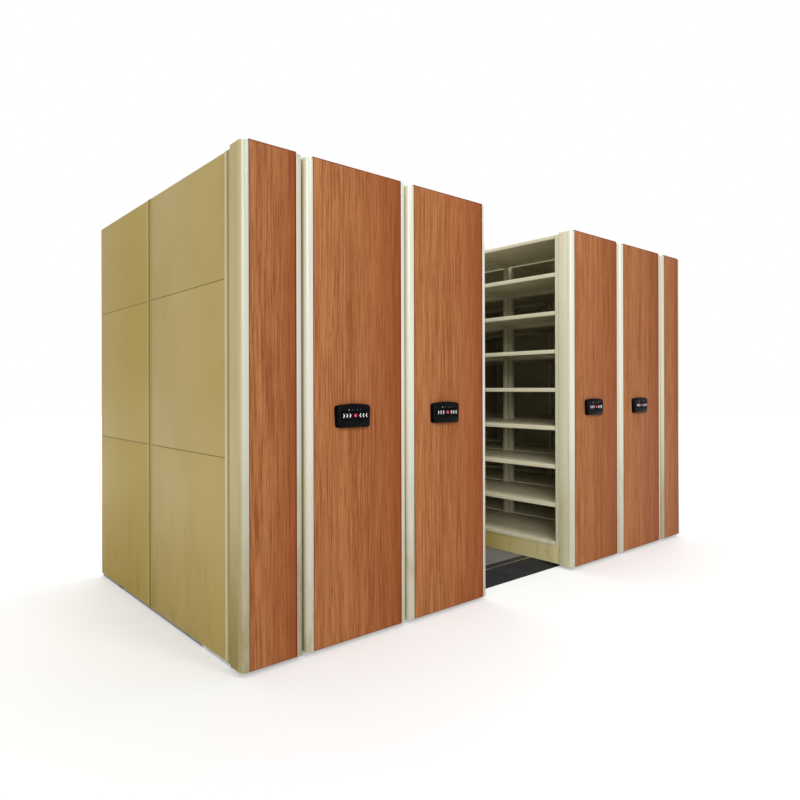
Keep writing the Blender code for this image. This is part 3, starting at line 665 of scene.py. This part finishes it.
# %% Build the trims and the casings
TRIM_DROP = 0.003  # how far trims and casing end below the casing of the frame
SEAM = 0.0006
STEP = 0.0003
CASING_FOLD = 0.0015
BOARD_PLAY = 0.0003
BACKING_PLAY = 0.0005
BACKING_LAP = 0.0002
BACKING_FOLD = 0.0006


def build_casing(name):
    """Two trims, and the casing behind them, in place of a range's casing."""
    place, board = casing_of[name], panel_of[name]
    top = place.top - TRIM_DROP
    height = top - place.bottom
    bm = bmesh.new()
    trim(bm, place.left, 1, place.bottom, height)
    trim(bm, place.right, -1, place.bottom, height)
    # 0 at a trim's side and 1 past its curve; the painted shade on the curve follows it.
    turned = bm.verts.layers.float.new("turned")
    for vert in bm.verts:
        inward = min(vert.co.x - place.left, place.right - vert.co.x)
        vert[turned] = min(inward / TRIM_RADIUS, 1.0)
    # The fixed ranges take the shaded copies of the trim and casing paints.
    skin, steel = (shaded_outer_trim, shaded_outer_paint) if name in FIXED else (trim_paint, casing_paint)
    piece(f"{name}_trims", bm, body_of(name), [skin], [f"{name}_casing"])

    bm = bmesh.new()
    start = FRONT + TRIM_DEPTH + SEAM
    low = (place.left + STEP, start, place.bottom)
    block(bm, low, (place.right - STEP, place.back, top), CASING_FOLD)
    low = (place.left + TRIM_WIDTH + BACKING_PLAY, board.back + BOARD_PLAY, place.bottom)
    high = (place.right - TRIM_WIDTH - BACKING_PLAY, start - BACKING_LAP, top)
    block(bm, low, high, BACKING_FOLD, 1)
    piece(f"{name}_casing_sides", bm, body_of(name), [steel], [f"{name}_casing"])


for name in RANGES:
    build_casing(name)
tell("carriage_1_trims", "carriage_1_casing_sides")

# %% [markdown]
# ## Shelves, uprights and slotted strips
#
# In the aisle the steel shelves show their folded front edges. A shelf is one folded sheet: up the
# lip, across the deck and down the other lip, with a return below each, so its underside is open
# like the real one's. The end uprights are folded boxes over the full depth, and at the middle of
# the range a post stands in each open face. Slotted strips on the uprights' inner faces carry the
# shelves. They are a grid whose cells are inset and opened, because hundreds of cut slots would
# cost a Boolean each.

# %% Shelf geometry
SHELF_PITCH = 0.284
SHELF_LEVELS = 8
SHELF_LIP = 0.030
TOP_THICKNESS = 0.025
FIRST_SHELF = 0.1820
POST_WIDTH = 0.038
POST_DEPTH = 0.020
BAY_LENGTH = 0.952
LIP_BEND = 0.003
LIP_RETURN = 0.014
GAUGE = 0.0012
PAN_GAP = 0.0016
UPRIGHT_FOLD = 0.002
TIE_DROP = 0.0006
TIE_INSET = 0.0205
SHELF_TOPS = [FIRST_SHELF + level * SHELF_PITCH for level in range(SHELF_LEVELS)]


def bays(place):
    """(start, end) of each bay along Y."""
    first = place.front + POST_WIDTH
    second = first + BAY_LENGTH + POST_WIDTH
    return [(first, first + BAY_LENGTH), (second, second + BAY_LENGTH)]


def pan(bm, left, right, start, end, top, lip):
    """A shelf: a sheet folded down along both long edges, with a return under each."""
    run = right - left - 2 * LIP_BEND
    drop = lip - 2 * LIP_BEND
    moves = [LIP_RETURN, (LIP_BEND, 90), drop, (LIP_BEND, 90), run, (LIP_BEND, 90), drop]
    moves += [(LIP_BEND, 90), LIP_RETURN]
    corner = (left + LIP_BEND + LIP_RETURN, start, top - lip)
    folded(bm, corner, -RIGHT, BACK, moves, end - start, GAUGE)


# %% Slotted strips
SLOT_PITCH = 0.038
STRIP_WIDTH = 0.022
STRIP_INSET = 0.010
SLOT_MARGIN = 0.0075
STRIP_GAUGE = 0.0009


def strip(bm, x, y, bottom, top, facing):
    """A strip with a column of slots, flat against an upright's face at y."""
    rows = int((top - bottom) / SLOT_PITCH)
    height = rows * SLOT_PITCH
    turn = Matrix.Rotation(math.radians(90 * facing), 4, "X")
    middle = Matrix.Translation((x, y, bottom + height / 2))
    size = Matrix.Diagonal((STRIP_WIDTH / 2, height / 2, 1, 1))
    before = set(bm.faces)
    bmesh.ops.create_grid(bm, x_segments=1, y_segments=rows, size=1.0, matrix=middle @ turn @ size)
    cells = [face for face in bm.faces if face not in before]
    bmesh.ops.inset_individual(bm, faces=cells, thickness=SLOT_MARGIN, use_even_offset=True)
    bmesh.ops.delete(bm, geom=cells, context="FACES")
    sheet = [face for face in bm.faces if face not in before]
    bmesh.ops.solidify(bm, geom=sheet, thickness=STRIP_GAUGE)


# %% The parts of a range's shelving
def shelving_piece(name, part, bm):
    """A painted piece of a range's shelving, which it stands for with its fellows."""
    steel, node = [shelving_paint], f"{name}_shelving"
    piece(f"{name}_{part}", bm, body_of(name), steel, [node])


def uprights(bm, place, posts):
    """The two end uprights, and the middle posts at the given places along X."""
    for start in (place.front, place.back - POST_WIDTH):
        low = (place.left, start, place.bottom)
        block(bm, low, (place.right, start + POST_WIDTH, place.top), UPRIGHT_FOLD)
    middle = bays(place)[0][1]
    for low_x, high_x in posts:
        low = (low_x, middle, place.bottom)
        block(bm, low, (high_x, middle + POST_WIDTH, place.top - TOP_THICKNESS), UPRIGHT_FOLD)


def ties(bm, place, left, right):
    """The bars between two bays that carry the ends of their shelves, and one at the top."""
    start, end = bays(place)[0][1] - PAN_GAP, bays(place)[1][0] + PAN_GAP
    for top in SHELF_TOPS:
        low = (left + TIE_INSET, start, top - SHELF_LIP)
        block(bm, low, (right - TIE_INSET, end, top - TIE_DROP), TIE_DROP, 1)
    low = (left, start, place.top - TOP_THICKNESS)
    block(bm, low, (right, end, place.top), TIE_DROP, 1)


def fill(name, place, left, right):
    """Shelves, a top and four slotted strips in each bay, between two places along X."""
    shelves, strips = bmesh.new(), bmesh.new()
    reach = STRIP_INSET + STRIP_WIDTH / 2
    height = SHELF_TOPS[0], place.top - TOP_THICKNESS
    for start, end in bays(place):
        for top in SHELF_TOPS:
            pan(shelves, left, right, start + PAN_GAP, end - PAN_GAP, top, SHELF_LIP)
        pan(shelves, left, right, start + PAN_GAP, end - PAN_GAP, place.top, TOP_THICKNESS)
        for x in (left + reach, right - reach):
            strip(strips, x, start + STRIP_GAUGE, *height, 1)
            strip(strips, x, end - STRIP_GAUGE, *height, -1)
    ties(shelves, place, left, right)
    shelving_piece(name, "shelves", shelves)
    shelving_piece(name, "strips", strips)


# %% Build the shelving of the carriages
for name in CARRIAGES:
    place = shelving_of[name]
    posts = [(place.left, place.left + POST_DEPTH), (place.right - POST_DEPTH, place.right)]
    bm = bmesh.new()
    uprights(bm, place, posts)
    shelving_piece(name, "uprights", bm)
    fill(name, place, place.left, place.right)
tell("carriage_1_uprights", "carriage_1_shelves", "carriage_1_strips")

# %% [markdown]
# ## The fixed ranges
#
# The outer ranges are half as wide, open only towards the carriages, and closed at the back. The
# one on the left shows its back: six folded panels in two columns. The one on the right gets the
# same six, on the same seams, and its shelving makes room for them. Each stands on a plinth instead
# of a chassis, set back a little under the lowest shelf.

# %% Build the shelving of the fixed ranges
BACK_GAUGE = 0.003
SKIN_DEPTH = 0.012
PLINTH_RECESS = 0.005
PLINTH_GAUGE = 0.003
PLINTH_EDGE = 0.0005


def fixed_shelving(name, back_side):
    """The shelving of an outer range whose closed back looks left (-1) or right (1)."""
    place = Box(f"{name}_shelving")
    if back_side < 0:
        left, right = place.left + BACK_GAUGE, place.right
        back, face, post = (place.left, left), right, (right - POST_DEPTH, right)
    else:
        place.right -= SKIN_DEPTH
        left, right = place.left, place.right - BACK_GAUGE
        back, face, post = (right, place.right), left, (left, left + POST_DEPTH)
    start, end = place.front + POST_WIDTH, place.back - POST_WIDTH
    bm = bmesh.new()
    uprights(bm, place, [post])
    block(bm, (back[0], start, place.bottom), (back[1], end, place.top))
    plinth = [face + back_side * (PLINTH_RECESS + depth) for depth in (0, PLINTH_GAUGE)]
    low, high = (min(plinth), start, place.bottom), (max(plinth), end, FIRST_SHELF - SHELF_LIP)
    block(bm, low, high, PLINTH_EDGE, 1)
    shelving_piece(name, "uprights", bm)
    fill(name, place, left, right)


fixed_shelving("fixed_left", -1)
fixed_shelving("fixed_right", 1)
print("plinth height:", round(FIRST_SHELF - SHELF_LIP, 4))

# %% Build the outer panels
SKIN_EDGE = 0.002
SKIN_BACK = 0.0003
side_panels = [node for node in frame["nodes"] if "side_panel" in node]


def skin(name, low, high, node):
    """One outer panel, in place of a CAD node."""
    bm = bmesh.new()
    block(bm, low, high, SKIN_EDGE, 3)
    piece(f"{name}_skin", bm, "root", [panel_paint], [node])


outer = shelving_of["fixed_right"].right
for node in side_panels:
    spot = Box(node)
    skin(node, (spot.left, spot.front, spot.bottom), (spot.right, spot.back, spot.top), node)
    low = (outer - SKIN_DEPTH + SKIN_BACK, spot.front, spot.bottom)
    name = node.replace("fixed_left", "fixed_right")
    skin(name, low, (outer, spot.back, spot.top), "fixed_right_shelving")
print("side panels on the left:", len(side_panels))

# %% [markdown]
# ## Seams and edge strips of the side panels
#
# The level gaps between the folded panels read as fine dark lines: an olive strip sits in each, its
# colour the gap's painted shade. A flat strip covers the upright joint between the two columns, and
# behind it run a band painted dark as the shade of a groove and a pale band painted as the highlight
# on a panel's edge. In front of the panels three narrow bands follow before the casing: a pale strip
# painted as the highlight on the panels' front edge, a joint band painted dark as the shade of a
# recess, and the casing's return in the shaded paint of the fixed ranges. All are thin bars set from
# the panels' own corners.

# %% The gap shade strips of one side
GAP_SHADE_SETBACK = 0.0012
GAP_SHADE_DEPTH = 0.006
GAP_SHADE_PLAY = 0.0002
front = [Box(node) for node in sorted(side_panels) if "_front_" in node]
rear = [Box(node) for node in side_panels if "_rear_" in node]


def build_gap_shades(name, outer, facing):
    """The strips in the level gaps of an outer side, which faces left (-1) or right (1), coloured as
    the gaps' painted shade.
    """
    near, far = sorted((outer - facing * GAP_SHADE_SETBACK, outer - facing * GAP_SHADE_DEPTH))
    bm = bmesh.new()
    tops = sorted(spot.top for spot in front)
    bottoms = sorted(spot.bottom for spot in front)
    for column in (front[0], rear[0]):
        for top, bottom in zip(tops[:-1], bottoms[1:]):
            low = (near, column.front + GAP_SHADE_PLAY, top + GAP_SHADE_PLAY)
            block(bm, low, (far, column.back - GAP_SHADE_PLAY, bottom - GAP_SHADE_PLAY))
    piece(f"{name}_side_seals", bm, "root", [gap_shade_strip])


# %% Build the gap shade strips and the bands
COVER_WIDTH = 0.023
SEAM_LAP = 0.002
SEAM_COVER = 0.015
SEAM_JOINT = 0.036
JOINT_WIDTH = 0.025
EDGE_WIDTH = 0.007
BAND_PROUD = 0.0012
JOINT_PROUD = 0.0004
# Painted highlight: the pale line where the panels' rounded edges catch the light.
edge_highlight_paint = powder_coat("painted edge highlight", tone(192, 185, 148), tone(184, 176, 136), 0.42, 0.0)
# Painted shade: the olive of the deep recess between the outer panels and the casing.
recess_shade_paint = powder_coat("painted recess shade", tone(150, 136, 82), tone(140, 126, 72), 0.6, 0.0)
# Painted shade: the dark of the groove behind the upright joint.
groove_shade_paint = powder_coat("painted groove shade", tone(134, 116, 54), tone(124, 106, 46), 0.6, 0.0, gloss=0.1)


def build_bands(name, outer, facing):
    """The upright bands on an outer side, each from a start to an end along Y."""
    bottom, top = min(spot.bottom for spot in front), max(spot.top for spot in front)
    lap = front[0].back - SEAM_LAP
    seam = lap + SEAM_COVER
    edge = seam + SEAM_JOINT
    cover, joint = front[0].front, front[0].front - COVER_WIDTH
    bands = {
        "seam_cover": (seam, lap, BAND_PROUD, panel_paint),
        # A band painted dark as the shade of the groove.
        "seam_joint": (edge, seam, JOINT_PROUD, groove_shade_paint),
        # A pale band painted as the highlight on the far edge of the groove.
        "seam_edge": (edge + EDGE_WIDTH, edge, BAND_PROUD, edge_highlight_paint),
        # A pale band painted as the highlight on the panels' front edge.
        "cover": (cover, joint, BAND_PROUD, edge_highlight_paint),
        # A band painted dark as the shade of the recess before the casing.
        "joint": (joint, joint - JOINT_WIDTH, JOINT_PROUD, recess_shade_paint),
        "return": (joint - JOINT_WIDTH, casing_of["fixed_left"].back, BAND_PROUD, shaded_outer_paint),
    }
    for part, (end, start, proud, material) in bands.items():
        bm = bmesh.new()
        near, far = sorted((outer + facing * proud, outer))
        block(bm, (near, start, bottom), (far, end, top))
        piece(f"{name}_{part}_band", bm, "root", [material])


sides = {"left": (front[0].left, -1), "right": (shelving_of["fixed_right"].right, 1)}
for name, (outer, facing) in sides.items():
    build_gap_shades(name, outer, facing)
    build_bands(name, outer, facing)
tell("left_side_seals", "left_cover_band")

# %% [markdown]
# ## Control pads, axles and motors
#
# These solids already have the right shape in the frame: the pad's rounded housing with its
# pockets, the keys, the domed button, the wheels. The frame stores them as loose triangles, so
# each is copied, merged and shaded smooth by angle. Two small things are added to the copies: the
# housing's ends slope in towards its face, and the button's red dome has a black rim.

# %% Changes to the pad and to the button
PAD_SLOPE = 0.014  # how far an end of the housing draws in between its back and its face
PAD_INNER = 0.092  # the part of the housing, from its middle, that stays as it is
RIM_RADIUS = 0.0096


def slope_ends(bm, place):
    """Draws the housing's ends in, the more the nearer they are to its face."""
    for vert in bm.verts:
        offset = vert.co.x - place.middle
        if abs(offset) > PAD_INNER:
            share = (place.back - vert.co.y) / (place.back - place.front)
            vert.co.x -= math.copysign(PAD_SLOPE * share, offset)


def black_rim(bm, place):
    """Gives the second material to what lies outside the button's dome."""
    middle = Vector((place.middle, place.level))
    for face in bm.faces:
        reach = max((vert.co.xz - middle).length for vert in face.verts)
        face.material_index = int(reach > RIM_RADIUS)


# %% Smooth copies of CAD nodes
def smoothed(node, body, materials, change=None):
    """A merged copy of a CAD node, with a change to its mesh if one is given."""
    bm = bmesh.new()
    bm.from_mesh(frame["nodes"][node].data)
    bmesh.ops.remove_doubles(bm, verts=bm.verts, dist=MERGE)
    if change:
        change(bm, Box(node))
    piece(f"{node}_finish", bm, body, materials, [node])


for name in CARRIAGES:
    smoothed(f"{name}_control_pad", name, [pad_plastic], slope_ends)
    for key in (f"{name}_left_key", f"{name}_right_key"):
        smoothed(key, key, [key_plastic])
    button = f"{name}_stop_button"
    smoothed(button, button, [stop_plastic, key_plastic], black_rim)
    for axle in (f"{name}_drive_axle", f"{name}_idler_axle"):
        smoothed(axle, axle, [axle_steel])
    smoothed(f"{name}_gearmotor", name, [gearmotor_paint])
tell("carriage_1_control_pad_finish", "carriage_1_stop_button_finish")

# %% [markdown]
# ## The arrows and the lamps
#
# Each key carries three white chevrons that point at the stop button, and a row of small indicator
# lamps sits above them, the first one lit. A chevron is a bar of print with one sharp turn, so the
# folding helper draws it.

# %% Print the arrows
CHEVRON_ARM = 0.0130
CHEVRON_ANGLE = 106
CHEVRON_STROKE = 0.0038
CHEVRON_PITCH = 0.0200
PRINT = 0.0003


def chevron(bm, x, y, z, pointing):
    """A chevron whose point looks right (1) or left (-1), printed on the face at y."""
    lean = math.radians(CHEVRON_ANGLE / 2)
    depth, half = CHEVRON_ARM * math.cos(lean), CHEVRON_ARM * math.sin(lean)
    start = (x - pointing * depth / 2, y, z - pointing * half)
    heading = Vector((pointing * depth, 0, pointing * half)).normalized()
    bend = (0, 180 - CHEVRON_ANGLE)
    folded(bm, start, heading, -BACK, [CHEVRON_ARM, bend, CHEVRON_ARM], PRINT, CHEVRON_STROKE)


for name in CARRIAGES:
    for key, pointing in (("left_key", 1), ("right_key", -1)):
        face = Box(f"{name}_{key}")
        bm = bmesh.new()
        for step in (-1, 0, 1):
            chevron(bm, face.middle + step * CHEVRON_PITCH, face.front, face.level, pointing)
        piece(f"{name}_{key}_arrows", bm, f"{name}_{key}", [print_white])
tell("carriage_1_left_key_arrows")

# %% Indicator lamps
LENS_RADIUS = 0.0026
LENS_RISE = 0.0010
LENS_ABOVE = 0.029
LENS_PLACES = (-0.038, -0.016, 0.015, 0.034)


def lens(bm, x, y, z):
    """A small domed lens on the face at y."""
    rim = Matrix.Translation((x, y, z)) @ Matrix.Rotation(math.radians(90), 4, "X")
    fit = rim @ Matrix.Diagonal((LENS_RADIUS, LENS_RADIUS, LENS_RISE, 1))
    made = bmesh.ops.create_uvsphere(bm, u_segments=12, v_segments=6, radius=1.0, matrix=fit)
    return {face for vert in made["verts"] for face in vert.link_faces}


for name in CARRIAGES:
    pad, stop = Box(f"{name}_control_pad"), Box(f"{name}_stop_button")
    bm = bmesh.new()
    for number, x in enumerate(LENS_PLACES):
        for face in lens(bm, stop.middle + x, pad.front, pad.level + LENS_ABOVE):
            face.material_index = min(number, 1)
    piece(f"{name}_lamps", bm, name, [lens_lit, lens_dark])
tell("carriage_1_lamps")

# %% [markdown]
# ## The ramp's edging and the track's screws
#
# A bright aluminium edging covers the joint between the ramp and the front track, thin caps close
# the ramp's two ends, and countersunk screws hold the tracks' lips down. A screw is a flat disc
# with a recess for the key: a circle that is filled, inset and pushed in.

# %% Build the edging
EDGING_WIDTH = 0.010
EDGING_HEIGHT = 0.0010
EDGING_SETBACK = 0.0004
EDGING_EDGE = 0.0004
CAP_GAUGE = 0.0010
ramp_box, track_box = Box("floor_ramp"), Box("floor_track_front")
bm = bmesh.new()
start = track_box.front + EDGING_SETBACK
low = (track_box.left, start, track_box.top)
high = (track_box.right, start + EDGING_WIDTH, track_box.top + EDGING_HEIGHT)
block(bm, low, high, EDGING_EDGE, 1)
for x in (ramp_box.left - CAP_GAUGE, ramp_box.right):
    low = (x, ramp_box.front, ramp_box.bottom)
    block(bm, low, (x + CAP_GAUGE, track_box.back, ramp_box.top))
piece("ramp_edging", bm, "root", [bright_strip])
tell("ramp_edging")

# %% Build the screws
SCREW_RADIUS = 0.0042
SCREW_RISE = 0.0004
SCREW_SIDES = 12
SOCKET_RIM = 0.0020
SOCKET_DEPTH = 0.0003
SCREW_PITCH = 0.30
LIP_MIDDLE = 0.0065


def screw(bm, x, y, z):
    """A countersunk screw head with its recess, on the surface at z."""
    place = Matrix.Translation((x, y, z + SCREW_RISE))
    disc = {"cap_ends": True, "segments": SCREW_SIDES, "radius": SCREW_RADIUS}
    made = bmesh.ops.create_circle(bm, matrix=place, **disc)
    head = made["verts"][0].link_faces[0]
    skirt = bmesh.ops.extrude_edge_only(bm, edges=head.edges[:])["geom"]
    low = of_kind(skirt, BMVert)
    bmesh.ops.translate(bm, verts=low, vec=(0, 0, -SCREW_RISE))
    bmesh.ops.inset_region(bm, faces=[head], thickness=SOCKET_RIM, depth=-SOCKET_DEPTH)


bm = bmesh.new()
for track in ("floor_track_front", "floor_track_rear"):
    spot = Box(track)
    rows = [spot.back - LIP_MIDDLE] + ([spot.front + LIP_MIDDLE] if "rear" in track else [])
    count = int((spot.right - spot.left) / SCREW_PITCH)
    for step in range(count):
        x = spot.left + (step + 0.5) * (spot.right - spot.left) / count
        for y in rows:
            screw(bm, x, y, spot.top)
piece("track_screws", bm, "root", [axle_steel])
tell("track_screws")

# %% [markdown]
# ## The room
#
# A plain pale floor, a white background for the camera and for reflections, and soft studio light.
# The photograph is lit broadly from the front and the left, with the side a little darker than the
# ends. One wide, soft sun leads, and large area lamps fill in, at the level where a colour comes
# out about as it is written. The floor glows a little to the camera and in reflections, more with
# the distance, so that it stays pale all over and still keeps the shadow.

# %% Floor
FLOOR_SIZE = 30.0
FLOOR_DROP = 0.0005
GLOW_START, GLOW_END = 2.5, 9.0


def studio_floor():
    finish = Finish("studio floor")
    output = finish.tree.nodes["Material Output"]
    seen = (finish.ray("Camera") + finish.ray("Glossy")).rise(0, 1)
    distance = finish.node("VectorMath", {"operation": "LENGTH"}, {0: finish.objects()}, "Value")
    strength = distance.rise(GLOW_START, GLOW_END) * 0.7 + 0.28
    glow = finish.node("Emission", {}, {"Color": (1, 1, 1, 1), "Strength": strength})
    finish.surface(Base_Color=(0.80, 0.80, 0.80, 1), Roughness=0.9)
    base = Field(finish, finish.shader.outputs[0])
    both = finish.node("AddShader", {}, {0: base, 1: glow})
    shown = finish.node("MixShader", {}, {0: seen, 1: base, 2: both})
    finish.feed(output.inputs["Surface"], shown)
    return finish.material


bm = bmesh.new()
bmesh.ops.create_grid(bm, x_segments=1, y_segments=1, size=FLOOR_SIZE)
bmesh.ops.translate(bm, verts=bm.verts, vec=(0, 0, -FLOOR_DROP))
ground = new_object("studio floor", bm, [studio_floor()])
print("floor:", 2 * FLOOR_SIZE, "m square")

# %% World
AMBIENT = 0.50
world = bpy.data.worlds.new("studio")
world.use_nodes = True
finish = Finish("studio", world.node_tree)
seen = (finish.ray("Camera") + finish.ray("Glossy")).rise(0, 1)
background = world.node_tree.nodes["Background"]
background.inputs["Color"].default_value = (1, 1, 1, 1)
finish.feed(background.inputs["Strength"], seen * (1 - AMBIENT) + AMBIENT)
bpy.context.scene.world = world
print("ambient light:", AMBIENT)


# %% Lamps
def stage_lamp(name, kind, place, target, power):
    """A lamp that stands at a place and looks at a target."""
    lamp = bpy.data.lights.new(name, kind)
    lamp.energy = power
    holder = linked(name, lamp)
    holder.location = place
    aim = Vector(target) - Vector(place)
    holder.rotation_euler = aim.to_track_quat("-Z", "Y").to_euler()
    holder.visible_camera = False
    return lamp


def soft_light(name, place, target, size, power):
    lamp = stage_lamp(name, "AREA", place, target, power)
    lamp.shape = "RECTANGLE"
    lamp.size, lamp.size_y = size


key = stage_lamp("key", "SUN", (-5.2, -5.0, 3.4), (0.0, 0.0, 1.2), 1.6)
key.angle = math.radians(24)
soft_light("aisle", (-1.0, -4.6, 3.9), (0.45, -0.5, 0.8), (1.2, 1.2), 58)
soft_light("top", (0.0, 1.0, 7.5), (0.0, 0.0, 1.0), (6, 6), 150)
soft_light("right", (8.0, 1.5, 4.0), (1.0, 0.0, 1.2), (4, 3), 160)
soft_light("back", (0.5, 8.5, 3.5), (0.0, 0.5, 1.2), (5, 3), 220)
print("lamps:", len(bpy.data.lights))

# %% [markdown]
# ## The camera
#
# It stands at chest height in front of the left corner and looks along the row, level, so that the
# uprights stay vertical, with the slight roll that the photograph has.

# %% Place the camera
IMAGE = 800
FOCAL_PIXELS = 636.3
SENSOR = 36.0
CAMERA_PLACE = (-3.474, -3.694, 1.316)
YAW, ROLL = 40.97, -0.13
HORIZON_ROW = 388.5

camera = bpy.data.cameras.new("camera")
camera.sensor_width = SENSOR
camera.lens = SENSOR * FOCAL_PIXELS / IMAGE
camera.shift_y = (HORIZON_ROW - IMAGE / 2) / IMAGE
viewer = linked("camera", camera)
look = Matrix.Rotation(math.radians(-YAW), 4, "Z") @ Matrix.Rotation(math.radians(90), 4, "X")
tilt = Matrix.Rotation(math.radians(ROLL), 4, "Z")
viewer.matrix_world = Matrix.Translation(CAMERA_PLACE) @ look @ tilt
bpy.context.scene.camera = viewer
bpy.context.scene.view_settings.view_transform = "Standard"
print("lens:", round(camera.lens, 2), "mm")

# %% [markdown]
# ## Finishes of the frame's own nodes
#
# The chassis, the ramp, the tracks and the deck have their full shape in the frame, so those nodes
# stay and only get their finish. One table pairs a word in a node's name with its material and its
# slot, and a loop over the nodes reads it.

# %% Dress the nodes that stay
stays = {
    "chassis": (chassis_paint, "chassis_paint"),
    "floor_ramp": (rubber, "ramp_rubber"),
    "floor_track": (track_steel, "track_steel"),
    "floor_deck": (vinyl, "deck_vinyl"),
}
for node, item in frame["nodes"].items():
    for part, (material, slot) in stays.items():
        if part in node:
            item.data.materials.clear()
            item.data.materials.append(material)
            print(node, "->", material.name)

# %% Count the triangles
print("triangles in all:", sum(triangle_count.values()))
